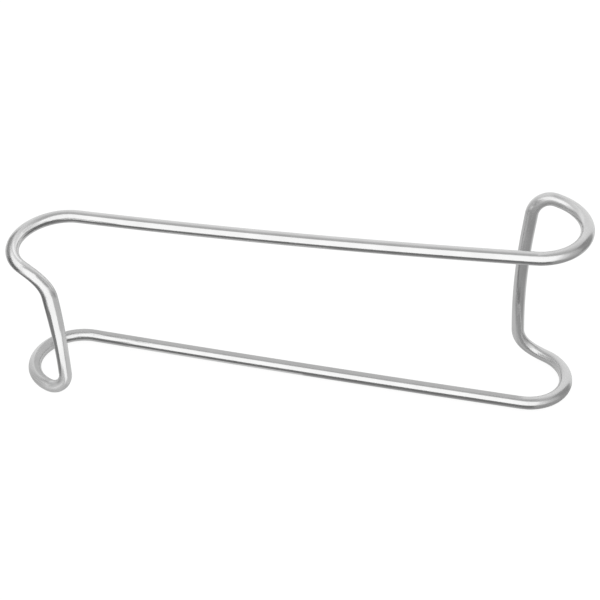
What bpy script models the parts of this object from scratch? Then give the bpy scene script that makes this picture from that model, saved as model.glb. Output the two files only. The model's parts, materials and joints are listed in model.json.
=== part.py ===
"""A double-ended wire cheek retractor, standing on its lower side.

The real thing is one length of round stainless wire. It is bent in the flat to a long closed loop,
its two ends are butt welded and ground flush, and then each end of the loop is rolled over a
mandrel into a hook: the wide end rolls to the back (+Y) and the narrow end to the front (-Y).

Here every stretch of wire that was formed in one go is a solid of its own, cut square across the
wire where one kind of bend ends and the next begins. The lower side lies on the table, so each
stretch there has a flat facing straight down.
"""

import math

import bmesh
import bpy
from mathutils import Matrix, Vector

# Driving dimensions, in metres. Radii and heights run to the middle of the wire.
OVERALL_LENGTH = 0.140
WIRE_DIAMETER = 0.00325

WIDE_ROLL_RADIUS = 0.0104
NARROW_ROLL_RADIUS = 0.0112
WIDE_ROLL_TURN = math.radians(196)  # from the rail's end round to the crossbar
NARROW_ROLL_TURN = math.radians(188.5)

# How far the loop's upper side is above its lower side, from the narrow end to the wide end
NARROW_CROSSBAR_HEIGHT = 0.0360
NARROW_RAIL_HEIGHT = 0.0385
WIDE_RAIL_HEIGHT = 0.0440
WIDE_CROSSBAR_HEIGHT = 0.0481

NARROW_UPPER_CORNER_RADIUS = 0.0076
NARROW_LOWER_CORNER_RADIUS = 0.0053
WIDE_UPPER_CORNER_RADIUS = 0.0048
WIDE_LOWER_CORNER_RADIUS = 0.0082
RAIL_END_RADIUS = 0.075  # the slight change of slope between the upper rail and its hooks

# The wire isn't dead straight: both rails bow to the back, the upper one sags, the crossbars
# bulge, and the foot of the narrow crossbar is rolled a little farther than its top
RAIL_BOW = 0.00038
UPPER_RAIL_SAG = 0.00058
WIDE_CROSSBAR_BULGE = 0.00095
NARROW_CROSSBAR_BULGE = 0.00045
NARROW_CROSSBAR_LEAN = 0.0009
SAGGING_SHARE = 0.9  # how much of the upper rail shares in the sag
BULGING_SHARE = 0.6  # how much of a crossbar shares in its bulge

WELD_LENGTH = 0.0016
CUT_GAP = 0.0003  # between one stretch of wire and the next

# How finely the wire is faceted
WIRE_SIDES = 16
BEND_STEP = math.radians(11)
LONGEST_STEP = 0.015

# Worked out from those
WIRE_RADIUS = WIRE_DIAMETER / 2
FACET_CORNER_RADIUS = WIRE_RADIUS / math.cos(math.pi / WIRE_SIDES)
HALF_RAIL = (OVERALL_LENGTH - WIRE_DIAMETER - WIDE_ROLL_RADIUS - NARROW_ROLL_RADIUS) / 2
RAIL_CURVATURE = 2 * RAIL_BOW / HALF_RAIL**2
RAIL_END_TURN = RAIL_CURVATURE * HALF_RAIL
RAIL_END_X = math.sin(RAIL_END_TURN) / RAIL_CURVATURE
RAIL_END_Y = (1 - math.cos(RAIL_END_TURN)) / RAIL_CURVATURE

STEEL_COLOUR = (0.70, 0.70, 0.71, 1.0)
STEEL_ROUGHNESS = 0.18
WELD_COLOUR = (0.66, 0.66, 0.67, 1.0)
WELD_ROUGHNESS = 0.24


def clear_scene():
    """Starts from an empty scene."""
    for item in list(bpy.data.objects):
        bpy.data.objects.remove(item)


def metal(name, colour, roughness):
    """A bare metal of one colour."""
    material = bpy.data.materials.new(name)
    material.use_nodes = True
    shader = material.node_tree.nodes["Principled BSDF"]
    shader.inputs["Base Color"].default_value = colour
    shader.inputs["Metallic"].default_value = 1.0
    shader.inputs["Roughness"].default_value = roughness
    return material


class FlatLoop:
    """The loop before its ends are rolled: straight runs and round corners, followed by distance.

    A point on it is (along, height): the distance along the rails from their middle, and the
    height above the lower side. The corners are listed anticlockwise.
    """

    def __init__(self, corners):
        self.runs = []
        self.corner_spans = {}
        self.length = 0.0
        count = len(corners)
        points = [Vector(point) for _, point, _ in corners]
        for index, (name, _, radius) in enumerate(corners):
            here = points[index]
            arriving = (here - points[index - 1]).normalized()
            leaving = (points[(index + 1) % count] - here).normalized()
            turn = -arriving.angle_signed(leaving, 0.0)
            setback = radius * math.tan(abs(turn) / 2)
            corner_start = here - arriving * setback
            if index:
                self._add_run((corner_start - last_end).length, last_end, arriving, 0.0)
            else:
                first_start = corner_start
                first_heading = arriving
            span_start = self.length
            if setback > 0:
                self._add_run(radius * abs(turn), corner_start, arriving, math.copysign(1 / radius, turn))
            self.corner_spans[name] = (span_start, self.length)
            last_end = here + leaving * setback
        self._add_run((first_start - last_end).length, last_end, first_heading, 0.0)

    def _add_run(self, length, start, heading, curvature):
        angle = math.atan2(heading.y, heading.x)
        self.runs.append((self.length, length, start.copy(), angle, curvature))
        self.length += length

    def at(self, distance):
        """The point at a distance round the loop, and the heading there."""
        distance %= self.length
        begin, _, start, angle, curvature = [run for run in self.runs if run[0] <= distance][-1]
        gone = distance - begin
        heading = angle + curvature * gone
        if curvature:
            along = start.x + (math.sin(heading) - math.sin(angle)) / curvature
            height = start.y - (math.cos(heading) - math.cos(angle)) / curvature
        else:
            along = start.x + math.cos(angle) * gone
            height = start.y + math.sin(angle) * gone
        return along, height, heading

    def corner_start(self, name):
        return self.corner_spans[name][0]

    def corner_end(self, name):
        return self.corner_spans[name][1]

    def corner_middle(self, name):
        return sum(self.corner_spans[name]) / 2


def easy_bend_radius(before, corner, after, share):
    """The radius that lets a slight corner take up a share of the runs on either side of it."""
    arriving = Vector(corner) - Vector(before)
    leaving = Vector(after) - Vector(corner)
    shorter = min(arriving.length, leaving.length)
    return share * shorter / math.tan(arriving.angle(leaving) / 2)


def flat_loop():
    """The loop's corners, each with its bend radius."""
    wide_end = HALF_RAIL + WIDE_ROLL_RADIUS * WIDE_ROLL_TURN
    narrow_end = -HALF_RAIL - NARROW_ROLL_RADIUS * NARROW_ROLL_TURN
    wide_lower = (wide_end, 0.0)
    wide_middle = (wide_end + 2 * WIDE_CROSSBAR_BULGE, WIDE_CROSSBAR_HEIGHT / 2)
    wide_upper = (wide_end, WIDE_CROSSBAR_HEIGHT)
    upper_wide = (HALF_RAIL, WIDE_RAIL_HEIGHT)
    upper_middle = (0.0, (NARROW_RAIL_HEIGHT + WIDE_RAIL_HEIGHT) / 2 - 2 * UPPER_RAIL_SAG)
    upper_narrow = (-HALF_RAIL, NARROW_RAIL_HEIGHT)
    narrow_upper = (narrow_end + NARROW_CROSSBAR_LEAN / 2, NARROW_CROSSBAR_HEIGHT)
    narrow_middle = (narrow_end - 2 * NARROW_CROSSBAR_BULGE, NARROW_CROSSBAR_HEIGHT / 2)
    narrow_lower = (narrow_end - NARROW_CROSSBAR_LEAN / 2, 0.0)
    wide_bulge_radius = easy_bend_radius(wide_lower, wide_middle, wide_upper, BULGING_SHARE)
    narrow_bulge_radius = easy_bend_radius(narrow_upper, narrow_middle, narrow_lower, BULGING_SHARE)
    sag_radius = easy_bend_radius(upper_wide, upper_middle, upper_narrow, SAGGING_SHARE)
    return FlatLoop(
        [
            ("lower_narrow", (-HALF_RAIL, 0.0), 0.0),
            ("lower_wide", (HALF_RAIL, 0.0), 0.0),
            ("wide_lower", wide_lower, WIDE_LOWER_CORNER_RADIUS),
            ("wide_middle", wide_middle, wide_bulge_radius),
            ("wide_upper", wide_upper, WIDE_UPPER_CORNER_RADIUS),
            ("upper_wide", upper_wide, RAIL_END_RADIUS),
            ("upper_middle", upper_middle, sag_radius),
            ("upper_narrow", upper_narrow, RAIL_END_RADIUS),
            ("narrow_upper", narrow_upper, NARROW_UPPER_CORNER_RADIUS),
            ("narrow_middle", narrow_middle, narrow_bulge_radius),
            ("narrow_lower", narrow_lower, NARROW_LOWER_CORNER_RADIUS),
        ]
    )


def rolled(along):
    """Where a point along the flat loop ends up, seen from above: x, y and the loop's heading."""
    beyond = abs(along) - HALF_RAIL
    if beyond <= 0:
        heading = RAIL_CURVATURE * along
        return math.sin(heading) / RAIL_CURVATURE, (1 - math.cos(heading)) / RAIL_CURVATURE, heading
    if along > 0:
        heading = RAIL_END_TURN + beyond / WIDE_ROLL_RADIUS
        x = RAIL_END_X + WIDE_ROLL_RADIUS * (math.sin(heading) - math.sin(RAIL_END_TURN))
        y = RAIL_END_Y - WIDE_ROLL_RADIUS * (math.cos(heading) - math.cos(RAIL_END_TURN))
        return x, y, heading
    heading = beyond / NARROW_ROLL_RADIUS - RAIL_END_TURN
    x = -RAIL_END_X - NARROW_ROLL_RADIUS * (math.sin(heading) + math.sin(RAIL_END_TURN))
    y = RAIL_END_Y + NARROW_ROLL_RADIUS * (math.cos(heading) - math.cos(RAIL_END_TURN))
    return x, y, heading


def wire_frame(loop, distance):
    """The wire's middle at a distance round the loop: Z along the wire, X square to the loop's face."""
    along, height, slope = loop.at(distance)
    x, y, heading = rolled(along)
    level = Vector((math.cos(heading), math.sin(heading), 0.0))
    tangent = level * math.cos(slope) + Vector((0.0, 0.0, math.sin(slope)))
    outward = Vector((-math.sin(heading), math.cos(heading), 0.0))
    side = tangent.cross(outward)
    turn = Matrix((outward, side, tangent)).transposed().to_4x4()
    return Matrix.Translation((x, y, height)) @ turn


def bend_between(first, second):
    """How far the wire turns from one frame to another."""
    return first.col[2].xyz.angle(second.col[2].xyz)


def stations(loop, start, end):
    """Distances along a stretch, close enough together for its tightest bend."""
    probes = max(2, math.ceil((end - start) / WIRE_RADIUS))
    frames = [wire_frame(loop, start + (end - start) * i / probes) for i in range(probes + 1)]
    bend = sum(bend_between(a, b) for a, b in zip(frames, frames[1:]))
    steps = math.ceil(max(bend / BEND_STEP, (end - start) / LONGEST_STEP))
    return [start + (end - start) * i / steps for i in range(steps + 1)]


def stretch_of_wire(name, loop, start, end, material):
    """Extrudes a round of wire along one stretch of the loop, half a gap short at either end."""
    frames = [wire_frame(loop, d) for d in stations(loop, start + CUT_GAP / 2, end - CUT_GAP / 2)]
    flat_side_down = Matrix.Rotation(math.pi / WIRE_SIDES, 4, "Z")
    solid = bmesh.new()
    bmesh.ops.create_circle(
        solid,
        cap_ends=True,
        segments=WIRE_SIDES,
        radius=FACET_CORNER_RADIUS,
        matrix=frames[0] @ flat_side_down,
    )
    solid.faces.ensure_lookup_table()
    tip = first_cap = solid.faces[0]
    for before, after in zip(frames, frames[1:]):
        grown = bmesh.ops.extrude_face_region(solid, geom=[tip])["geom"]
        if tip != first_cap:
            bmesh.ops.delete(solid, geom=[tip], context="FACES_ONLY")
        tip = next(part for part in grown if isinstance(part, bmesh.types.BMFace))
        bmesh.ops.transform(solid, matrix=after @ before.inverted(), verts=tip.verts)
    bmesh.ops.recalc_face_normals(solid, faces=solid.faces)
    mesh = bpy.data.meshes.new(name)
    solid.to_mesh(mesh)
    solid.free()
    mesh.shade_smooth()
    mesh.set_sharp_from_angle(angle=math.radians(40))
    mesh.materials.append(material)
    item = bpy.data.objects.new(name, mesh)
    bpy.context.scene.collection.objects.link(item)
    return item


def rest_on_table(pieces):
    """Hangs the pieces on an empty that puts the origin on the table under the middle of the box."""
    points = [vertex.co for piece in pieces for vertex in piece.data.vertices]
    low = Vector(min(point[axis] for point in points) for axis in range(3))
    high = Vector(max(point[axis] for point in points) for axis in range(3))
    retractor = bpy.data.objects.new("retractor", None)
    bpy.context.scene.collection.objects.link(retractor)
    retractor.location = (-(low.x + high.x) / 2, -(low.y + high.y) / 2, -low.z)
    for piece in pieces:
        piece.parent = retractor


def main():
    clear_scene()
    steel = metal("polished_stainless_steel", STEEL_COLOUR, STEEL_ROUGHNESS)
    ground_weld = metal("ground_weld", WELD_COLOUR, WELD_ROUGHNESS)
    loop = flat_loop()
    weld_start = loop.corner_middle("upper_middle") - WELD_LENGTH / 2
    weld_end = weld_start + WELD_LENGTH
    wide_rail_end = loop.corner_middle("upper_wide")
    narrow_rail_end = loop.corner_middle("upper_narrow")
    lower_wide = loop.corner_end("lower_wide")
    lower_narrow = loop.corner_end("lower_narrow")
    stretches = [
        ("lower_rail", lower_narrow, lower_wide),
        ("wide_curl_lower", lower_wide, loop.corner_start("wide_lower")),
        ("wide_corner_lower", *loop.corner_spans["wide_lower"]),
        ("wide_crossbar", loop.corner_end("wide_lower"), loop.corner_start("wide_upper")),
        ("wide_corner_upper", *loop.corner_spans["wide_upper"]),
        ("wide_curl_upper", loop.corner_end("wide_upper"), wide_rail_end),
        ("upper_rail_wide_half", wide_rail_end, weld_start),
        ("upper_rail_narrow_half", weld_end, narrow_rail_end),
        ("narrow_curl_upper", narrow_rail_end, loop.corner_start("narrow_upper")),
        ("narrow_corner_upper", *loop.corner_spans["narrow_upper"]),
        ("narrow_crossbar", loop.corner_end("narrow_upper"), loop.corner_start("narrow_lower")),
        ("narrow_corner_lower", *loop.corner_spans["narrow_lower"]),
        ("narrow_curl_lower", loop.corner_end("narrow_lower"), loop.length + lower_narrow),
    ]
    pieces = [stretch_of_wire(name, loop, start, end, steel) for name, start, end in stretches]
    pieces.append(stretch_of_wire("butt_weld", loop, weld_start, weld_end, ground_weld))
    rest_on_table(pieces)


main()
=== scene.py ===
# %% [markdown]
# A wire cheek retractor, dressed for its portrait.
#
# The real thing is a single length of round stainless wire. It is bent in the flat to a long loop,
# its ends are butt welded and ground flush, and then each end of the loop is rolled over a mandrel
# into a hook. There is no paint, no plastic and no second material, so everything that the eye gets
# comes from two things: bends that run as smoothly as bent wire does, and a polished surface that
# mirrors the studio. This lesson makes the bends first, then the polish, then the studio.

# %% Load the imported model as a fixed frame
import bisect
import itertools
import json
import math
from collections import namedtuple

import bmesh
import bpy
from mathutils import Euler, Matrix, Vector

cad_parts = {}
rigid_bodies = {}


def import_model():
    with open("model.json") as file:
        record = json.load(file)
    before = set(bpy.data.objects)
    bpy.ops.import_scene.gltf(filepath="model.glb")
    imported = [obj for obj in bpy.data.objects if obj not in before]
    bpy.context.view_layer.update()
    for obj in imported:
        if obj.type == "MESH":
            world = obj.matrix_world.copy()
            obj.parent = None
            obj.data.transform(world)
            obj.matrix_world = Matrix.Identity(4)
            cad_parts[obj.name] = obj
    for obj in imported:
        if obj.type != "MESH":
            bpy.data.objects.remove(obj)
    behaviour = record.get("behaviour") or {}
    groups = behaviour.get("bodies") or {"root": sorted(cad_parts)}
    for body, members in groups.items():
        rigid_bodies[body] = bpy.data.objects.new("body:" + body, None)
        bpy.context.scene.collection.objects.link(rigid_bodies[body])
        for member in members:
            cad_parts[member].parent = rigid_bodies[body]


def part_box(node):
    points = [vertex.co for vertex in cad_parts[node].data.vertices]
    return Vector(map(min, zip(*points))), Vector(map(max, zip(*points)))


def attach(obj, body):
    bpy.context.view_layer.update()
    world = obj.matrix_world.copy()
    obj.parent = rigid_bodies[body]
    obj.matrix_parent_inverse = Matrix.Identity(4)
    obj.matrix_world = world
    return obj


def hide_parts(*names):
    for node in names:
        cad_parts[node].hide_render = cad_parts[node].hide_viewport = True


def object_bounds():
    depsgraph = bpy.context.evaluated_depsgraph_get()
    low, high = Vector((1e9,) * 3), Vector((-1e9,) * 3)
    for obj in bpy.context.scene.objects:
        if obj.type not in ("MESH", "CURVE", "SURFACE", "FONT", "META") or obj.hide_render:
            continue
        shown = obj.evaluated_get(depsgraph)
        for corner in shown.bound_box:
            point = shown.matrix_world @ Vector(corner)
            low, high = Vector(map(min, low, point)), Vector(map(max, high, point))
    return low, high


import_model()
cad_low, cad_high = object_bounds()
print("the solids fill", [round(1000 * size, 1) for size in cad_high - cad_low], "mm")

# %% [markdown]
# The camera comes first, because every later choice is judged through it. Its place and angle were
# solved from the photograph together with the bends of the wire. It stands close to a small object,
# so the perspective is strong: the wide hook at the back looks smaller than it is. The sensor is
# square here, and nothing is shifted.

# %% Camera
CAMERA_PLACE = (0.06670, -0.23158, 0.20509)
CAMERA_TURN_DEGREES = (53.099, 1.102, 14.910)
CAMERA_LENS_MM = 72.33
SENSOR_MM = 36.0

camera_data = bpy.data.cameras.new("portrait_camera")
camera_data.lens = CAMERA_LENS_MM
camera_data.sensor_width = SENSOR_MM
camera_data.clip_start = 0.01
camera_data.dof.use_dof = False
camera = bpy.data.objects.new("portrait_camera", camera_data)
bpy.context.scene.collection.objects.link(camera)
camera.location = CAMERA_PLACE
camera.rotation_euler = Euler([math.radians(angle) for angle in CAMERA_TURN_DEGREES])
bpy.context.scene.camera = camera
print("the camera stands", round(1000 * camera.location.length), "mm from the origin")

# %% [markdown]
# The sizes of the bent wire, in metres, measured to the middle of the wire. The thickness is read
# from the frame: the lower rail lies flat on the table, so its box is exactly one wire high. The
# rest repeats what the solids were built from. Heights are those of the loop's upper side above its
# lower side, from the narrow end to the wide end, and the loop is a little taller at every step.

# %% Sizes of the bent wire
rail_low, rail_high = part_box("lower_rail")
WIRE_RADIUS = (rail_high.z - rail_low.z) / 2
HALF_RAIL = 0.057575

WIDE_ROLL_RADIUS = 0.0104
NARROW_ROLL_RADIUS = 0.0112
WIDE_ROLL_TURN = math.radians(196)
NARROW_ROLL_TURN = math.radians(188.5)

NARROW_CROSSBAR_HEIGHT = 0.0360
NARROW_RAIL_HEIGHT = 0.0385
WIDE_RAIL_HEIGHT = 0.0440
WIDE_CROSSBAR_HEIGHT = 0.0481

NARROW_UPPER_CORNER_RADIUS = 0.0076
NARROW_LOWER_CORNER_RADIUS = 0.0053
WIDE_UPPER_CORNER_RADIUS = 0.0048
WIDE_LOWER_CORNER_RADIUS = 0.0082
RAIL_END_RADIUS = 0.075

RAIL_BOW = 0.00038
UPPER_RAIL_SAG = 0.00058
WIDE_CROSSBAR_BULGE = 0.00095
NARROW_CROSSBAR_BULGE = 0.00045
NARROW_CROSSBAR_LEAN = 0.0009
SAGGING_SHARE = 0.9
BULGING_SHARE = 0.6
WELD_LENGTH = 0.0016
print("the wire is", round(2000 * WIRE_RADIUS, 2), "mm thick")

# %% [markdown]
# A bent wire could be swept along a curve drawn by eye, but then no two bends would have a radius
# that a tool could have made. A wire bender knows only two moves, feed and bend, so this lesson uses
# the same two on a single vertex: feeding extrudes it straight ahead, and bending spins it round the
# centre of the bend. The flat loop is drawn standing up, in the plane of X and Z, and a corner is
# worked out once from the two straight runs that it joins.

# %% Corners of the flat loop
Corner = namedtuple("Corner", "start end centre turn radius")


def corner(before, point, after, radius):
    """The round corner of a wire that runs from one point past another to a third."""
    arriving = (point - before).normalized()
    leaving = (after - point).normalized()
    turn = math.atan2(arriving.x * leaving.z - arriving.z * leaving.x, arriving.dot(leaving))
    setback = radius * math.tan(abs(turn) / 2)
    left_of_wire = Vector((-arriving.z, 0.0, arriving.x))
    start = point - arriving * setback
    return Corner(
        start=start,
        end=point + leaving * setback,
        centre=start + left_of_wire * math.copysign(radius, turn),
        turn=turn,
        radius=radius,
    )


def easy_radius(before, point, after, share):
    """The radius of a slight bend that takes up a share of the runs on either side of it."""
    arriving = point - before
    leaving = after - point
    shorter = min(arriving.length, leaving.length)
    return share * shorter / math.tan(arriving.angle(leaving) / 2)


wide_end = HALF_RAIL + WIDE_ROLL_RADIUS * WIDE_ROLL_TURN
narrow_end = -HALF_RAIL - NARROW_ROLL_RADIUS * NARROW_ROLL_TURN
middle_height = (NARROW_RAIL_HEIGHT + WIDE_RAIL_HEIGHT) / 2

narrow_foot = Vector((narrow_end - NARROW_CROSSBAR_LEAN / 2, 0, 0))
narrow_middle = Vector((narrow_end - 2 * NARROW_CROSSBAR_BULGE, 0, NARROW_CROSSBAR_HEIGHT / 2))
narrow_top = Vector((narrow_end + NARROW_CROSSBAR_LEAN / 2, 0, NARROW_CROSSBAR_HEIGHT))
narrow_rail = Vector((-HALF_RAIL, 0, NARROW_RAIL_HEIGHT))
rail_middle = Vector((0, 0, middle_height - 2 * UPPER_RAIL_SAG))
wide_rail = Vector((HALF_RAIL, 0, WIDE_RAIL_HEIGHT))
wide_top = Vector((wide_end, 0, WIDE_CROSSBAR_HEIGHT))
wide_middle = Vector((wide_end + 2 * WIDE_CROSSBAR_BULGE, 0, WIDE_CROSSBAR_HEIGHT / 2))
wide_foot = Vector((wide_end, 0, 0))

sag_radius = easy_radius(wide_rail, rail_middle, narrow_rail, SAGGING_SHARE)
wide_bulge_radius = easy_radius(wide_foot, wide_middle, wide_top, BULGING_SHARE)
narrow_bulge_radius = easy_radius(narrow_top, narrow_middle, narrow_foot, BULGING_SHARE)
sag = corner(wide_rail, rail_middle, narrow_rail, sag_radius)
narrow_easing = corner(rail_middle, narrow_rail, narrow_top, RAIL_END_RADIUS)
narrow_upper = corner(narrow_rail, narrow_top, narrow_middle, NARROW_UPPER_CORNER_RADIUS)
narrow_bulge = corner(narrow_top, narrow_middle, narrow_foot, narrow_bulge_radius)
narrow_lower = corner(narrow_middle, narrow_foot, wide_foot, NARROW_LOWER_CORNER_RADIUS)
wide_lower = corner(narrow_foot, wide_foot, wide_middle, WIDE_LOWER_CORNER_RADIUS)
wide_bulge = corner(wide_foot, wide_middle, wide_top, wide_bulge_radius)
wide_upper = corner(wide_middle, wide_top, wide_rail, WIDE_UPPER_CORNER_RADIUS)
wide_easing = corner(wide_top, wide_rail, rail_middle, RAIL_END_RADIUS)
print("the corners turn", [round(math.degrees(c.turn)) for c in (narrow_upper, wide_lower)], "degrees")

# %% [markdown]
# The wire starts where the real one does, at the weld in the middle of the upper rail, and goes once
# round the loop: narrow hook, lower rail, wide hook, and back to the weld. A plane merged to its
# centre leaves one vertex, and that is the tip of the wire. After each stretch the count of vertices
# is noted, because the finished wire is cut apart at those places.

# %% Feed and bend the flat loop
FEED_STEP = 0.0005
BEND_STEP = math.radians(2.5)
stretch_ends = {}


def wire_tip():
    """The one selected vertex, which is the end of the wire so far."""
    points = bmesh.from_edit_mesh(bpy.context.object.data).verts
    return next(vertex.co.copy() for vertex in points if vertex.select)


def feed(place):
    """Pushes the wire straight on to a place."""
    ahead = place - wire_tip()
    steps = max(1, round(ahead.length / FEED_STEP))
    for _ in range(steps):
        bpy.ops.mesh.extrude_region_move(TRANSFORM_OT_translate={"value": ahead / steps})


def bend(bent, share=1.0):
    """Turns the wire round a corner, or through a share of it."""
    angle = share * bent.turn
    arc = bent.radius * abs(angle)
    steps = math.ceil(max(abs(angle) / BEND_STEP, arc / FEED_STEP))
    bpy.ops.mesh.spin(steps=steps, angle=angle, center=bent.centre, axis=(0, 1, 0))


def stretch_done(name):
    """Notes where a stretch of the wire ends."""
    stretch_ends[name] = len(bmesh.from_edit_mesh(bpy.context.object.data).verts) - 1


weld_share = WELD_LENGTH / (sag.radius * abs(sag.turn))
sag_share = (1 - weld_share) / 2
weld_turn = Matrix.Rotation(-sag.turn * (sag_share + weld_share), 3, "Y")
weld_end = sag.centre + weld_turn @ (sag.start - sag.centre)

bpy.ops.object.select_all(action="DESELECT")
bpy.ops.mesh.primitive_plane_add(size=WIRE_RADIUS, location=weld_end)
centreline = bpy.context.object
centreline.name = "centreline"
bpy.ops.object.transform_apply(location=True, rotation=True, scale=True)
bpy.ops.object.mode_set(mode="EDIT")
bpy.ops.mesh.select_all(action="SELECT")
bpy.ops.mesh.merge(type="CENTER")

bend(sag, sag_share)
feed(narrow_easing.start)
bend(narrow_easing, 0.5)
stretch_done("upper_rail_narrow_half")
bend(narrow_easing, 0.5)
feed(narrow_upper.start)
stretch_done("narrow_curl_upper")
bend(narrow_upper)
stretch_done("narrow_corner_upper")
feed(narrow_bulge.start)
bend(narrow_bulge)
feed(narrow_lower.start)
stretch_done("narrow_crossbar")
bend(narrow_lower)
stretch_done("narrow_corner_lower")
feed(Vector((-HALF_RAIL, 0, 0)))
stretch_done("narrow_curl_lower")
feed(Vector((HALF_RAIL, 0, 0)))
stretch_done("lower_rail")
feed(wide_lower.start)
stretch_done("wide_curl_lower")
bend(wide_lower)
stretch_done("wide_corner_lower")
feed(wide_bulge.start)
bend(wide_bulge)
feed(wide_upper.start)
stretch_done("wide_crossbar")
bend(wide_upper)
stretch_done("wide_corner_upper")
feed(wide_easing.start)
bend(wide_easing, 0.5)
stretch_done("wide_curl_upper")
bend(wide_easing, 0.5)
feed(sag.start)
bend(sag, sag_share)
stretch_done("upper_rail_wide_half")
bend(sag, weld_share)
stretch_done("butt_weld")

print("the loop misses its own start by", round(1e6 * (wire_tip() - weld_end).length, 1), "micrometres")
bpy.ops.object.mode_set(mode="OBJECT")

# %% [markdown]
# Now the flat loop is formed in plan. The rails bow back by less than half a millimetre, and each end
# is rolled over a mandrel by a little more than half a turn: the wide end to the back, the narrow end
# to the front. A Simple Deform modifier set to Bend does this exactly as a roller does. An empty
# stands for the mandrel: bending starts at it and follows its X axis. The limits say which share of
# the loop is bent, and what lies beyond them stays straight. Bending a line and not a solid matters
# here, because a bent solid would be squeezed out of round in the crossbars.

# %% Bow the rails and roll the hooks
rail_curvature = 2 * RAIL_BOW / HALF_RAIL**2
rail_end_turn = rail_curvature * HALF_RAIL
rail_end_x = math.sin(rail_end_turn) / rail_curvature
rail_end_y = (1 - math.cos(rail_end_turn)) / rail_curvature


def roll(place, heading, curvature, first, last=None):
    """Rolls the loop towards a mandrel's left, between two distances ahead of the mandrel."""
    bpy.ops.object.empty_add(location=place, rotation=(0, 0, heading))
    mandrel = bpy.context.object
    bpy.context.view_layer.update()
    ahead = [(mandrel.matrix_world.inverted() @ vertex.co).x for vertex in centreline.data.vertices]
    low = min(ahead)
    span = max(ahead) - low
    last = max(ahead) if last is None else last
    bpy.ops.object.select_all(action="DESELECT")
    centreline.select_set(True)
    bpy.context.view_layer.objects.active = centreline
    bpy.ops.object.modifier_add(type="SIMPLE_DEFORM")
    bending = centreline.modifiers[-1]
    bending.deform_method = "BEND"
    bending.deform_axis = "Z"
    bending.origin = mandrel
    bending.angle = curvature * (last - first)
    bending.limits = ((first - low) / span, (last - low) / span)
    bpy.ops.object.modifier_apply(modifier=bending.name)
    bpy.data.objects.remove(mandrel)


roll((0, 0, 0), 0.0, rail_curvature, -HALF_RAIL, HALF_RAIL)
roll((rail_end_x, rail_end_y, 0), rail_end_turn, 1 / WIDE_ROLL_RADIUS, 0.0)
roll((-rail_end_x, rail_end_y, 0), math.pi - rail_end_turn, 1 / NARROW_ROLL_RADIUS, 0.0)
depths = [vertex.co.y for vertex in centreline.data.vertices]
print("the hooks reach from", round(1000 * min(depths), 1), "to", round(1000 * max(depths), 1), "mm in depth")

# %% [markdown]
# The line becomes wire by the shortest way: made into a curve, it takes a round bevel of the wire's
# radius, with one ring of points at every vertex of the line, and becomes a mesh again. The mesh is
# then set down where the solids stand, by matching its box to theirs.

# %% Give the line its thickness
WIRE_SIDES = 64

bpy.ops.object.convert(target="CURVE")
line_points = [point.co.xyz for point in centreline.data.splines[0].points]
steps_along = [(after - before).length for before, after in zip(line_points, line_points[1:])]
distances = [0.0, *itertools.accumulate(steps_along)]
centreline.data.bevel_depth = WIRE_RADIUS
centreline.data.bevel_resolution = (WIRE_SIDES - 4) // 2
bpy.ops.object.convert(target="MESH")
wire = bpy.context.object
wire.name = "whole_wire"

places_before = [vertex.co.copy() for vertex in wire.data.vertices]
low = Vector(min(place[axis] for place in places_before) for axis in range(3))
high = Vector(max(place[axis] for place in places_before) for axis in range(3))
wire.location = (cad_low + cad_high) / 2 - (low + high) / 2
wire.location.z = cad_low.z - low.z
bpy.ops.object.transform_apply(location=True, rotation=True, scale=True)
print("the wire is", round(1000 * distances[-1], 1), "mm long, in", len(distances), "rings")

# %% [markdown]
# One corner is not as round as the rest. Where the narrow hook turns down into its crossbar, the wire
# was gripped and forced round, and the jaws pressed it flatter: wider in the loop's own sheet and
# thinner across it. Scaling all of it at once would drag the bend along, so each ring of points is
# scaled about its own middle, by an amount that swells towards the grip and dies away on both sides.

# %% Press the gripped corner
PRESSED_WIDER = 0.24
PRESSED_THINNER = 0.10
PRESSED_BEFORE_GRIP = 0.012
PRESSED_AFTER_GRIP = 0.020

placed = wire.data.vertices[0].co - places_before[0]
mandrel_axis = placed + Vector((
    -rail_end_x - NARROW_ROLL_RADIUS * math.sin(rail_end_turn),
    rail_end_y - NARROW_ROLL_RADIUS * math.cos(rail_end_turn),
    0.0,
))
grip = distances[stretch_ends["narrow_corner_upper"]]
pressed_rings = 0
for ring, distance in enumerate(distances):
    reach = PRESSED_BEFORE_GRIP if distance < grip else PRESSED_AFTER_GRIP
    nearness = 1 - abs(distance - grip) / reach
    if nearness <= 0:
        continue
    pressed_rings += 1
    share = nearness * nearness * (3 - 2 * nearness)
    points = wire.data.vertices[ring * WIRE_SIDES:(ring + 1) * WIRE_SIDES]
    middle = sum((point.co for point in points), Vector()) / WIRE_SIDES
    along = (line_points[ring + 1] - line_points[ring - 1]).normalized()
    out_of_sheet = (middle - mandrel_axis) * Vector((1, 1, 0))
    out_of_sheet = (out_of_sheet - along * along.dot(out_of_sheet)).normalized()
    in_sheet = along.cross(out_of_sheet)
    for point in points:
        offset = point.co - middle
        point.co += in_sheet * offset.dot(in_sheet) * PRESSED_WIDER * share
        point.co -= out_of_sheet * offset.dot(out_of_sheet) * PRESSED_THINNER * share
print("the corner is pressed over", pressed_rings, "rings")

# %% [markdown]
# Draw lines and scratches run along a drawn wire and go round every bend with it. So before the wire
# is cut, each point is told where it sat on the straight wire, as an attribute that holds the
# distance along the wire and the place across it. A pattern that reads this attribute is laid on
# straight wire, and the bends carry it. A second attribute says how sharply the wire is bent nearby,
# because bending stretches a polished skin and leaves it a little duller.

# %% Remember the straight wire
SHARPEST_BEND = 1 / 0.0050
BEND_REACH = 0.004

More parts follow.
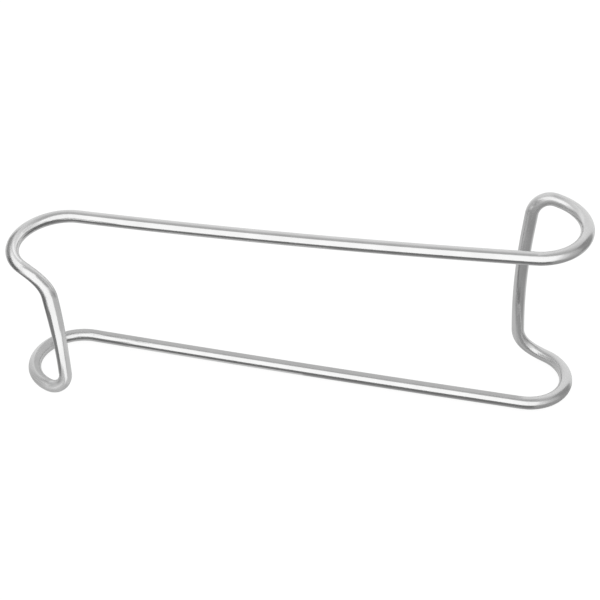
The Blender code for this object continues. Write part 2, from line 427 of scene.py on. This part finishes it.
straight = wire.data.attributes.new("straight_wire", "FLOAT_VECTOR", "POINT")
round_angles = [math.tau * side / WIRE_SIDES for side in range(WIRE_SIDES)]
across = [(WIRE_RADIUS * math.cos(angle), WIRE_RADIUS * math.sin(angle)) for angle in round_angles]
values = [value for distance in distances for y, z in across for value in (distance, y, z)]
straight.data.foreach_set("vector", values)

headings = [(after - before).normalized() for before, after in zip(line_points, line_points[1:])]
turns = [0.0, *(before.angle(after) for before, after in zip(headings, headings[1:])), 0.0]
turned = [0.0, *itertools.accumulate(turns)]
bends = []
for distance in distances:
    first = bisect.bisect_left(distances, distance - BEND_REACH)
    last = bisect.bisect_right(distances, distance + BEND_REACH)
    bends.append(min(1.0, (turned[last] - turned[first]) / (2 * BEND_REACH * SHARPEST_BEND)))
bent_share = wire.data.attributes.new("bent_share", "FLOAT", "POINT")
bent_share.data.foreach_set("value", [bend_here for bend_here in bends for _ in range(WIRE_SIDES)])
print("each of", len(wire.data.vertices), "points knows its place on the straight wire")

# %% [markdown]
# The wire is held as stretches, one for each forming step, as the solids are. Every stretch is a
# copy of the whole wire from which the rest is deleted, ring by ring. The two open ends are closed,
# so each stretch is a solid in its own right, and neighbours meet ring to ring without a seam.

# %% Cut the wire into its stretches
SHARP_ANGLE = math.radians(40)


def cut_out(node, first_ring, last_ring):
    """Copies the wire and keeps the rings of one stretch, closed at both ends."""
    bpy.ops.object.select_all(action="DESELECT")
    wire.select_set(True)
    bpy.context.view_layer.objects.active = wire
    bpy.ops.object.duplicate()
    stretch = bpy.context.object
    stretch.name = node + "_wire"
    bpy.ops.object.mode_set(mode="EDIT")
    bpy.ops.mesh.select_mode(type="VERT")
    bpy.ops.mesh.select_all(action="DESELECT")
    shape = bmesh.from_edit_mesh(stretch.data)
    for vertex in shape.verts:
        vertex.select_set(not first_ring <= vertex.index // WIRE_SIDES <= last_ring)
    bmesh.update_edit_mesh(stretch.data)
    bpy.ops.mesh.delete(type="VERT")
    bpy.ops.mesh.select_all(action="SELECT")
    bpy.ops.mesh.fill_holes(sides=WIRE_SIDES)
    bpy.ops.mesh.normals_make_consistent(inside=False)
    bpy.ops.object.mode_set(mode="OBJECT")
    bpy.ops.object.shade_smooth_by_angle(angle=SHARP_ANGLE)
    return stretch


stretches = {}
first_ring = 0
for node, last_ring in stretch_ends.items():
    stretches[node] = cut_out(node, first_ring, last_ring)
    first_ring = last_ring
bpy.data.objects.remove(wire)
for node, stretch in stretches.items():
    print(stretch.name, len(stretch.data.polygons), "faces")

# %% [markdown]
# Two helpers serve every material. Colours are written as the hex values that a paint program shows,
# and one function turns them to the linear light that the shader wants. The other function adds a
# node, gives it its settings and links its inputs.

# %% Helpers for materials


def linear(hex_colour):
    """An sRGB hex colour as linear red, green, blue and alpha."""
    shares = [int(hex_colour[place:place + 2], 16) / 255 for place in (1, 3, 5)]
    light = [s / 12.92 if s <= 0.04045 else ((s + 0.055) / 1.055) ** 2.4 for s in shares]
    return (*light, 1.0)


def add_node(tree, kind, settings, links):
    """Adds a node with its settings, on itself or on its inputs, and with its links."""
    node = tree.nodes.new(kind)
    for name, value in settings.items():
        if name in node.inputs:
            node.inputs[name].default_value = value
        else:
            setattr(node, name, value)
    for name, source in links.items():
        tree.links.new(source, node.inputs[name])
    return node


print("white is", linear("#ffffff"))

# %% [markdown]
# The finish is austenitic stainless wire, cold drawn through a die and then polished on a soft wheel.
# The eye gets three things from it. The reflections are clear but not those of a mirror, because the
# polish leaves a fine haze. Faint lines run along the wire: the die drew them and the wheel softened
# them. They are about a tenth of a millimetre apart on the real wire, too fine for this picture, and
# are drawn three times as coarse so that they show. And in the bends the stretched skin is duller.
# A few hairline scratches from the instrument tray cross the lines at a slant.

# %% Polished drawn stainless steel
DRAW_LINE_WIDTH = 0.00030
DRAW_LINE_LENGTH = 0.030
HAZE_PATCH = 0.006
SCRATCH_WIDTH = 0.0007
SCRATCH_LENGTH = 0.012
SCRATCH_SLANT = 0.35
DRAW_LINE_DEPTH = 0.0000035
NOISE_LOW = 0.3
NOISE_HIGH = 0.7
POLISHED_ROUGHNESS = 0.11
DRAWN_ROUGHNESS = 0.19
HAZE_ROUGHNESS = 0.025
BEND_ROUGHNESS = 0.18
SCRATCH_ROUGHNESS = 0.08
HAIRLINE_MIDDLE = 0.5
HAIRLINE_REACH = 0.005
BLACK = (0.0, 0.0, 0.0, 1.0)
WHITE = (1.0, 1.0, 1.0, 1.0)


def steel_shader(material):
    """The shader of a new bare metal material, and its tree."""
    material.use_nodes = True
    shader = material.node_tree.nodes["Principled BSDF"]
    shader.inputs["Metallic"].default_value = 1.0
    return shader, material.node_tree


polished_steel = bpy.data.materials.new("polished_drawn_stainless_steel")
shader, tree = steel_shader(polished_steel)
on_wire = add_node(tree, "ShaderNodeAttribute", {"attribute_name": "straight_wire"}, {})
bent = add_node(tree, "ShaderNodeAttribute", {"attribute_name": "bent_share"}, {})

line_scale = (1 / DRAW_LINE_LENGTH, 1 / DRAW_LINE_WIDTH, 1 / DRAW_LINE_WIDTH)
line_place = add_node(
    tree, "ShaderNodeMapping", {"Scale": line_scale}, {"Vector": on_wire.outputs["Vector"]}
)
lines = add_node(
    tree,
    "ShaderNodeTexNoise",
    {"Scale": 1.0, "Detail": 3.0, "Roughness": 0.6},
    {"Vector": line_place.outputs["Vector"]},
)
haze = add_node(
    tree,
    "ShaderNodeTexNoise",
    {"Scale": 1 / HAZE_PATCH, "Detail": 2.0},
    {"Vector": on_wire.outputs["Vector"]},
)
scratch_scale = (1 / SCRATCH_LENGTH, 1 / SCRATCH_WIDTH, 1 / SCRATCH_WIDTH)
scratch_place = add_node(
    tree,
    "ShaderNodeMapping",
    {"Rotation": (0.0, 0.0, SCRATCH_SLANT), "Scale": scratch_scale},
    {"Vector": on_wire.outputs["Vector"]},
)
scratch_noise = add_node(
    tree,
    "ShaderNodeTexNoise",
    {"Scale": 1.0, "Detail": 1.0},
    {"Vector": scratch_place.outputs["Vector"]},
)
hairline = add_node(tree, "ShaderNodeValToRGB", {}, {"Fac": scratch_noise.outputs["Fac"]})
hairline.color_ramp.elements[0].position = HAIRLINE_MIDDLE - HAIRLINE_REACH
hairline.color_ramp.elements[0].color = BLACK
hairline.color_ramp.elements[1].position = HAIRLINE_MIDDLE + HAIRLINE_REACH
hairline.color_ramp.elements[1].color = BLACK
hairline.color_ramp.elements.new(HAIRLINE_MIDDLE).color = WHITE

by_lines = add_node(
    tree,
    "ShaderNodeMapRange",
    {
        "From Min": NOISE_LOW,
        "From Max": NOISE_HIGH,
        "To Min": POLISHED_ROUGHNESS,
        "To Max": DRAWN_ROUGHNESS,
    },
    {"Value": lines.outputs["Fac"]},
)
by_haze = add_node(
    tree,
    "ShaderNodeMapRange",
    {
        "From Min": NOISE_LOW,
        "From Max": NOISE_HIGH,
        "To Min": -HAZE_ROUGHNESS,
        "To Max": HAZE_ROUGHNESS,
    },
    {"Value": haze.outputs["Fac"]},
)
in_bends = add_node(
    tree,
    "ShaderNodeMapRange",
    {"To Min": 0.0, "To Max": BEND_ROUGHNESS},
    {"Value": bent.outputs["Fac"]},
)
in_scratches = add_node(
    tree,
    "ShaderNodeMapRange",
    {"To Min": 0.0, "To Max": SCRATCH_ROUGHNESS},
    {"Value": hairline.outputs["Color"]},
)
dull = by_lines
for more in (by_haze, in_bends, in_scratches):
    dull = add_node(tree, "ShaderNodeMath", {}, {0: dull.outputs[0], 1: more.outputs[0]})
tree.links.new(dull.outputs[0], shader.inputs["Roughness"])

tint = add_node(tree, "ShaderNodeValToRGB", {}, {"Fac": haze.outputs["Fac"]})
tint.color_ramp.elements[0].position = NOISE_LOW
tint.color_ramp.elements[0].color = linear("#cfcfcf")
tint.color_ramp.elements[1].position = NOISE_HIGH
tint.color_ramp.elements[1].color = linear("#d6d6d6")
tree.links.new(tint.outputs["Color"], shader.inputs["Base Color"])

drawn = add_node(
    tree,
    "ShaderNodeBump",
    {"Strength": 1.0, "Distance": DRAW_LINE_DEPTH},
    {"Height": lines.outputs["Fac"]},
)
tree.links.new(drawn.outputs["Normal"], shader.inputs["Normal"])
print(polished_steel.name, "has", len(tree.nodes), "nodes")

# %% [markdown]
# The weld was ground flush and polished with the rest, and no seam shows. What is left of it on the
# real wire is the direction of the fine lines: a grinding wheel goes round the wire, across its
# length, where the die went along it.

# %% Weld ground flush
GRINDING_LINE_WIDTH = 0.00020
GRINDING_LINE_DEPTH = 0.000001
SMOOTHEST_GRINDING = 0.17
ROUGHEST_GRINDING = 0.23

ground_weld = bpy.data.materials.new("ground_flush_stainless_weld")
shader, tree = steel_shader(ground_weld)
shader.inputs["Base Color"].default_value = linear("#d2d2d2")
on_wire = add_node(tree, "ShaderNodeAttribute", {"attribute_name": "straight_wire"}, {})
ring_scale = (1 / GRINDING_LINE_WIDTH, 1 / WIRE_RADIUS, 1 / WIRE_RADIUS)
ring_place = add_node(
    tree, "ShaderNodeMapping", {"Scale": ring_scale}, {"Vector": on_wire.outputs["Vector"]}
)
rings = add_node(
    tree,
    "ShaderNodeTexNoise",
    {"Scale": 1.0, "Detail": 2.0},
    {"Vector": ring_place.outputs["Vector"]},
)
dull = add_node(
    tree,
    "ShaderNodeMapRange",
    {
        "From Min": NOISE_LOW,
        "From Max": NOISE_HIGH,
        "To Min": SMOOTHEST_GRINDING,
        "To Max": ROUGHEST_GRINDING,
    },
    {"Value": rings.outputs["Fac"]},
)
tree.links.new(dull.outputs[0], shader.inputs["Roughness"])
ground = add_node(
    tree,
    "ShaderNodeBump",
    {"Strength": 1.0, "Distance": GRINDING_LINE_DEPTH},
    {"Height": rings.outputs["Fac"]},
)
tree.links.new(ground.outputs["Normal"], shader.inputs["Normal"])
print(ground_weld.name, "has", len(tree.nodes), "nodes")

# %% [markdown]
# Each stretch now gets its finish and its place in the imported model: it rides on the one body there
# is, and it stands for the solid of the same name.

# %% Dress the stretches
for node, stretch in stretches.items():
    welded = node == "butt_weld"
    stretch.data.materials.clear()
    stretch.data.materials.append(ground_weld if welded else polished_steel)
    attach(stretch, "root")
    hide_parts(node)
print(len(stretches), "stretches are dressed")

# %% [markdown]
# The floor is a sheet of matt white paper. The photograph has no shadow on it at all, so the paper
# shines a little itself, as a sheet lit from below does. The steel doesn't mirror it and it stops no
# light, because what the steel should mirror is placed piece by piece below.

# %% Floor
FLOOR_SIZE = 4.0
PAPER_ROUGHNESS = 0.9
PAPER_GLOW = 0.9

bpy.ops.object.select_all(action="DESELECT")
bpy.ops.mesh.primitive_plane_add(size=FLOOR_SIZE, location=(0, 0, 0))
floor = bpy.context.object
floor.name = "floor"
paper = bpy.data.materials.new("matt_white_paper")
paper.use_nodes = True
shader = paper.node_tree.nodes["Principled BSDF"]
shader.inputs["Base Color"].default_value = linear("#808080")
shader.inputs["Roughness"].default_value = PAPER_ROUGHNESS
shader.inputs["Specular IOR Level"].default_value = 0.0
shader.inputs["Emission Color"].default_value = linear("#ffffff")
shader.inputs["Emission Strength"].default_value = PAPER_GLOW
floor.data.materials.append(paper)
floor.visible_glossy = False
floor.visible_shadow = False
print("the floor is", FLOOR_SIZE, "m wide")

# %% [markdown]
# Polished metal has hardly a colour of its own. What it shows is the room, so lighting it means
# building the room that it mirrors. The world here is that room: pale walls, brightest behind the
# object and dimmer overhead and at the sides, and dimmer again below. The camera itself sees plain
# white paper.

# %% The room
BACK_WALL = 0.97
BACK_WALL_STARTS = 0.7
OVERHEAD = 0.56
FRONT_SIDES = 0.75
BELOW_SHARE = 0.85
BELOW_STARTS = -0.4

world = bpy.data.worlds.new("studio")
bpy.context.scene.world = world
world.use_nodes = True
tree = world.node_tree
tree.nodes.clear()
looking = add_node(tree, "ShaderNodeTexCoord", {}, {})
parts = add_node(tree, "ShaderNodeSeparateXYZ", {}, {"Vector": looking.outputs["Generated"]})
backwards = add_node(
    tree,
    "ShaderNodeMapRange",
    {"From Max": BACK_WALL_STARTS, "To Min": OVERHEAD, "To Max": BACK_WALL},
    {"Value": parts.outputs["Y"]},
)
forwards = add_node(
    tree,
    "ShaderNodeMapRange",
    {"From Max": -1.0, "To Min": 0.0, "To Max": FRONT_SIDES - OVERHEAD},
    {"Value": parts.outputs["Y"]},
)
level = add_node(tree, "ShaderNodeMath", {}, {0: backwards.outputs[0], 1: forwards.outputs[0]})
downwards = add_node(
    tree,
    "ShaderNodeMapRange",
    {"From Min": BELOW_STARTS, "From Max": 0.0, "To Min": BELOW_SHARE, "To Max": 1.0},
    {"Value": parts.outputs["Z"]},
)
brightness = add_node(
    tree,
    "ShaderNodeMath",
    {"operation": "MULTIPLY"},
    {0: level.outputs[0], 1: downwards.outputs[0]},
)
room = add_node(
    tree, "ShaderNodeBackground", {"Color": linear("#ffffff")}, {"Strength": brightness.outputs[0]}
)
blank_paper = add_node(tree, "ShaderNodeBackground", {"Color": linear("#ffffff")}, {})
ray = add_node(tree, "ShaderNodeLightPath", {}, {})
seen = add_node(
    tree,
    "ShaderNodeMixShader",
    {},
    {0: ray.outputs["Is Camera Ray"], 1: room.outputs[0], 2: blank_paper.outputs[0]},
)
add_node(tree, "ShaderNodeOutputWorld", {}, {"Surface": seen.outputs[0]})
print("the room has", len(tree.nodes), "nodes")

# %% [markdown]
# Into the room go cards, as a photographer of instruments would set them. A card is a plane that glows
# evenly or stays dark. Only reflections see it, and only from its painted side: from behind it is
# clear as air. So a card can stand close to one stretch of the wire without getting in the way of the
# next, and no card shows in the picture itself.

# %% Helpers for cards
OBJECT_MIDDLE = Vector((0.0, 0.0, 0.022))


def direction(azimuth, elevation):
    """A direction from the object: azimuth from the front to the right, elevation upwards."""
    turn, rise = math.radians(azimuth), math.radians(elevation)
    return Vector((math.sin(turn) * math.cos(rise), -math.cos(turn) * math.cos(rise), math.sin(rise)))


def paint(thing, brightness):
    """Paints one side of a thing on the stage, and shows that side to reflections alone."""
    board = bpy.data.materials.new(thing.name)
    board.use_nodes = True
    board.cycles.emission_sampling = "NONE"
    tree = board.node_tree
    tree.nodes.clear()
    side = add_node(tree, "ShaderNodeNewGeometry", {}, {})
    glow = add_node(tree, "ShaderNodeEmission", {"Strength": brightness}, {})
    clear = add_node(tree, "ShaderNodeBsdfTransparent", {}, {})
    painted = add_node(
        tree,
        "ShaderNodeMixShader",
        {},
        {0: side.outputs["Backfacing"], 1: glow.outputs[0], 2: clear.outputs[0]},
    )
    add_node(tree, "ShaderNodeOutputMaterial", {}, {"Surface": painted.outputs[0]})
    thing.data.materials.append(board)
    thing.visible_camera = False
    thing.visible_diffuse = False
    thing.visible_transmission = False
    thing.visible_shadow = False


def card(name, middle, facing, width, height, brightness):
    """A card at a place, with its painted side facing a direction."""
    bpy.ops.object.select_all(action="DESELECT")
    bpy.ops.mesh.primitive_plane_add(size=1.0, location=middle)
    plane = bpy.context.object
    plane.name = name
    plane.scale = (width, height, 1.0)
    plane.rotation_mode = "QUATERNION"
    plane.rotation_quaternion = Vector(facing).to_track_quat("Z", "Y")
    paint(plane, brightness)
    return plane


def far_card(name, azimuth, elevation, distance, width, height, brightness):
    """A card that faces the object from far off."""
    towards = direction(azimuth, elevation)
    card(name, OBJECT_MIDDLE + towards * distance, -towards, width, height, brightness)


def table_card(name, left, right, front, back, depth, brightness):
    """A card that lies face up, a little below the object's underside."""
    middle = ((left + right) / 2, (front + back) / 2, -depth)
    card(name, middle, (0, 0, 1), right - left, back - front, brightness)


print("straight ahead of the object is", tuple(direction(0, 0)))

# %% [markdown]
# The softbox stands in front and gives the long white band on the rails and on the narrow hook. Its
# wings are dimmer, so that the band fades where the hooks turn away. A dark flag at the right gives
# the rolled ends their grey sides.

# %% Softbox, wings and flag
far_card("softbox", azimuth=-3, elevation=22, distance=0.60, width=1.18, height=1.16, brightness=1.43)
far_card("softbox_wings", azimuth=-3, elevation=22, distance=0.61, width=2.30, height=1.10, brightness=0.92)
far_card("right_flag", azimuth=110, elevation=12, distance=0.50, width=0.32, height=0.75, brightness=0.36)
print("the softbox and its flag are up")

# %% [markdown]
# Under the white band each rail has a thin dark line with a paler rim below it. That is the mark of a
# dark strip close to the rail, in front of it and below: a strip that is close stays the same strip
# for the whole length of the rail, where a far one would slide off it.

# %% Dark strips under the rails
STRIP_BRIGHTNESS = 0.22
STRIP_LEFT = -0.067
STRIP_RIGHT = 0.066
RAIL_SLOPE = (WIDE_RAIL_HEIGHT - NARROW_RAIL_HEIGHT) / (2 * HALF_RAIL)


def rail_strip(name, height, slope, front_edge, back_edge):
    """A dark strip along a rail, between two edges that are given from the rail's middle line."""
    along = (STRIP_LEFT + STRIP_RIGHT) / 2
    middle = Vector((along, 0, height + slope * along)) + (front_edge + back_edge) / 2
    across_strip = front_edge - back_edge
    facing = across_strip.cross(Vector((1, 0, 0)))
    strip = card(name, middle, facing, STRIP_RIGHT - STRIP_LEFT, across_strip.length, STRIP_BRIGHTNESS)
    tilt = Matrix.Rotation(-slope, 3, "Y").to_quaternion()
    strip.rotation_quaternion = tilt @ strip.rotation_quaternion


rail_strip(
    "lower_rail_strip",
    height=WIRE_RADIUS,
    slope=0.0,
    front_edge=Vector((0, -0.0099, -0.0002)),
    back_edge=Vector((0, -0.0062, -0.0080)),
)
rail_strip(
    "upper_rail_strip",
    height=WIRE_RADIUS + middle_height,
    slope=RAIL_SLOPE,
    front_edge=Vector((0, -0.0099, -0.0037)),
    back_edge=Vector((0, -0.0046, -0.0090)),
)
print("the strips are", round(1000 * (STRIP_RIGHT - STRIP_LEFT)), "mm long")

# %% [markdown]
# The crossbars look down on the table, so they show what lies there. Grey cards keep the wide
# crossbar dull and darkest in its middle, and a paler one lies under the narrow hook. The cards that
# stand are close to one stretch each, and are named for it. Most of them dim a place that would
# mirror too much of the softbox or of the bright back wall.

# %% Cards on the table, and cards that stand
table_card("front_card", left=0.000, right=0.060, front=-0.103, back=-0.001, depth=0.008, brightness=0.42)
table_card("right_card", left=0.060, right=0.150, front=-0.103, back=0.025, depth=0.008, brightness=0.40)
table_card("back_card", left=-0.050, right=0.050, front=0.003, back=0.100, depth=0.006, brightness=0.68)
table_card("middle_card", left=-0.050, right=0.000, front=-0.030, back=0.003, depth=0.008, brightness=0.75)
table_card("narrow_card", left=-0.085, right=-0.052, front=-0.045, back=0.010, depth=0.008, brightness=0.60)
card("lower_rail_card", (-0.011, 0.008, 0.0165), (0, -29, -12), width=0.138, height=0.031, brightness=0.66)
card("narrow_loop_card", (-0.090, -0.0335, 0.009), (1, 0, 0), width=0.037, height=0.026, brightness=0.62)
card("narrow_roll_card", (-0.0575, -0.0105, 0.0352), (-1, 0, 0), width=0.011, height=0.0085, brightness=0.15)
card(
    "narrow_roll_low_card", (-0.0575, -0.0040, 0.0305), (-1, 0, 0),
    width=0.008, height=0.009, brightness=0.15,
)
card(
    "narrow_corner_card", (-0.0511, -0.0281, 0.0410), (-9, -3, -3),
    width=0.010, height=0.012, brightness=0.50,
)
card(
    "wide_corner_edge_card", (0.0525, 0.0167, 0.0503), (3, 4, -2),
    width=0.005, height=0.0045, brightness=0.45,
)
card("wide_corner_card", (0.050, 0.0035, 0.0498), (0, 1, 0), width=0.016, height=0.0085, brightness=0.58)
card("wide_corner_low_card", (0.051, 0.0034, 0.0405), (0, 1, 0), width=0.022, height=0.010, brightness=0.42)
card("wide_loop_card", (0.0545, 0.0115, 0.0070), (45, 45, -77), width=0.009, height=0.008, brightness=0.62)
stage_names = [item.name for item in bpy.data.objects if item.name.endswith("card")]
print("the cards are", stage_names)

# %% [markdown]
# A white band and a dark line go round the outside of the narrow hook, from its upper roll down the
# left of its crossbar. Screens beside the roll give them, a white one above a dark one, and the edge
# that they share is the edge of the band. The dark one is in two parts, because the line is paler on
# the back of the roll than on its front. For the crossbar the dark line goes on in two leaves that lie
# face up, one at half its height and one at its foot, so that the lower loop and the lower rail look
# past them. A grey leaf on the right ends the white band of the crossbar's pressed part.

# %% Screens and leaves beside the narrow hook
def stage_mesh(name, points, faces, brightness):
    """A mesh on the stage that also keeps the lamps behind it away."""
    mesh = bpy.data.meshes.new(name)
    mesh.from_pydata(points, [], faces)
    thing = bpy.data.objects.new(name, mesh)
    bpy.context.scene.collection.objects.link(thing)
    paint(thing, brightness)
    thing.visible_shadow = True


def screen(name, upper_edge, lower_edge, brightness):
    """A curved screen between two edges that run from the back to the front, facing right."""
    points = [point for pair in zip(upper_edge, lower_edge) for point in pair]
    faces = [(count, count + 2, count + 3, count + 1) for count in range(0, len(points) - 2, 2)]
    stage_mesh(name, points, faces, brightness)


def leaf(name, height, outline, brightness):
    """A flat leaf that lies face up at a height."""
    points = [(x, y, height) for x, y in outline]
    stage_mesh(name, points, [tuple(range(len(points)))], brightness)


white_edge = [
    (-0.0722, -0.0072, 0.0500),
    (-0.0717, -0.0079, 0.0510),
    (-0.0723, -0.0142, 0.0535),
    (-0.0661, -0.0205, 0.0570),
]
band_edge = [
    (-0.0710, 0.0013, 0.0535),
    (-0.0743, -0.0016, 0.0528),
    (-0.0784, -0.0074, 0.0520),
    (-0.0825, -0.0170, 0.0490),
    (-0.0820, -0.0262, 0.0432),
    (-0.0768, -0.0342, 0.0380),
]
dark_edge = [
    (-0.0845, -0.0005, 0.0420),
    (-0.0855, -0.0055, 0.0415),
    (-0.0858, -0.0115, 0.0385),
    (-0.0835, -0.0160, 0.0325),
    (-0.0793, -0.0192, 0.0263),
    (-0.0759, -0.0213, 0.0239),
]
upper_leaf = [
    (-0.0660, -0.0220),
    (-0.1000, -0.0180),
    (-0.1040, -0.0500),
    (-0.0670, -0.0560),
    (-0.0655, -0.0440),
    (-0.0713, -0.0310),
]
lower_leaf = [
    (-0.0590, -0.0240),
    (-0.0606, -0.0228),
    (-0.0920, -0.0190),
    (-0.0920, -0.0520),
    (-0.0680, -0.0520),
    (-0.0598, -0.0310),
    (-0.0594, -0.0262),
]
right_leaf = [
    (-0.0490, -0.0265),
    (-0.0360, -0.0480),
    (-0.0220, -0.0400),
    (-0.0240, -0.0140),
    (-0.0470, -0.0170),
]

screen("white_screen", white_edge, band_edge[2:], brightness=1.40)
screen("dark_screen_back", band_edge[:4], dark_edge[:4], brightness=0.34)
screen("dark_screen_front", band_edge[3:], dark_edge[3:], brightness=0.18)
leaf("upper_leaf", height=0.017, outline=upper_leaf, brightness=0.16)
leaf("lower_leaf", height=0.004, outline=lower_leaf, brightness=0.28)
leaf("right_leaf", height=0.017, outline=right_leaf, brightness=0.68)
print("the screens share an edge of", len(band_edge), "points")

# %% [markdown]
# The hooks still turn too many ways for one set of cards. A photographer would light them one by one
# and join the pictures, and light linking does the same in one go: a lamp that is linked to a few
# stretches of the wire shines on nothing else. The lower rail shows no image of the narrow crossbar in
# the photograph, so the crossbar is kept out of reflections.

# %% Lamps for the hooks alone
LAMP_DISTANCE = 0.40
NARROW_HOOK = Vector((-0.062, -0.011, 0.030))
WIDE_HOOK = Vector((0.060, 0.012, 0.026))


def hook_lamp(name, hook, azimuth, elevation, width, height, brightness, nodes):
    """A flat lamp that faces a hook and shines on some stretches of the wire alone."""
    light = bpy.data.lights.new(name, "AREA")
    light.shape = "RECTANGLE"
    light.size = width
    light.size_y = height
    light.energy = brightness * math.pi * width * height
    lamp = bpy.data.objects.new(name, light)
    bpy.context.scene.collection.objects.link(lamp)
    towards = direction(azimuth, elevation)
    lamp.location = hook + towards * LAMP_DISTANCE
    lamp.rotation_mode = "QUATERNION"
    lamp.rotation_quaternion = towards.to_track_quat("Z", "Y")
    lit = bpy.data.collections.new(name)
    for node in nodes:
        lit.objects.link(stretches[node])
    lamp.light_linking.receiver_collection = lit


hook_lamp(
    "narrow_roll_right_lamp", NARROW_HOOK, azimuth=92, elevation=24,
    width=0.57, height=0.48, brightness=0.48, nodes=["narrow_curl_upper"],
)
hook_lamp(
    "narrow_roll_back_lamp", NARROW_HOOK, azimuth=132, elevation=12,
    width=0.61, height=0.20, brightness=0.25, nodes=["narrow_curl_upper"],
)
hook_lamp(
    "narrow_roll_left_lamp", NARROW_HOOK, azimuth=-168, elevation=33,
    width=0.17, height=0.13, brightness=0.45, nodes=["narrow_curl_upper"],
)
hook_lamp(
    "narrow_corner_lamp", NARROW_HOOK, azimuth=105, elevation=20,
    width=0.53, height=0.37, brightness=0.30, nodes=["narrow_corner_upper"],
)
hook_lamp(
    "narrow_crossbar_front_lamp", NARROW_HOOK, azimuth=12, elevation=-36,
    width=0.64, height=0.214, brightness=0.80,
    nodes=["narrow_crossbar", "narrow_corner_upper", "narrow_corner_lower"],
)
hook_lamp(
    "narrow_crossbar_right_lamp", NARROW_HOOK, azimuth=130, elevation=-32,
    width=0.57, height=0.20, brightness=0.30,
    nodes=["narrow_crossbar", "narrow_corner_lower"],
)
hook_lamp(
    "wide_roll_left_lamp", WIDE_HOOK, azimuth=-99, elevation=30,
    width=0.42, height=0.20, brightness=0.28, nodes=["wide_curl_upper"],
)
hook_lamp(
    "wide_roll_top_lamp", WIDE_HOOK, azimuth=-95, elevation=62,
    width=0.40, height=0.30, brightness=0.25, nodes=["wide_curl_upper", "wide_corner_upper"],
)
hook_lamp(
    "wide_corner_right_lamp", WIDE_HOOK, azimuth=82, elevation=28,
    width=0.41, height=0.29, brightness=0.30, nodes=["wide_corner_lower"],
)
stretches["narrow_crossbar"].visible_glossy = False
print("the lamps are", [item.name for item in bpy.data.lights])

# %% [markdown]
# The picture is developed without a film look, because the photograph's white paper is pure white.

# %% The end
bpy.context.scene.view_settings.view_transform = "Standard"
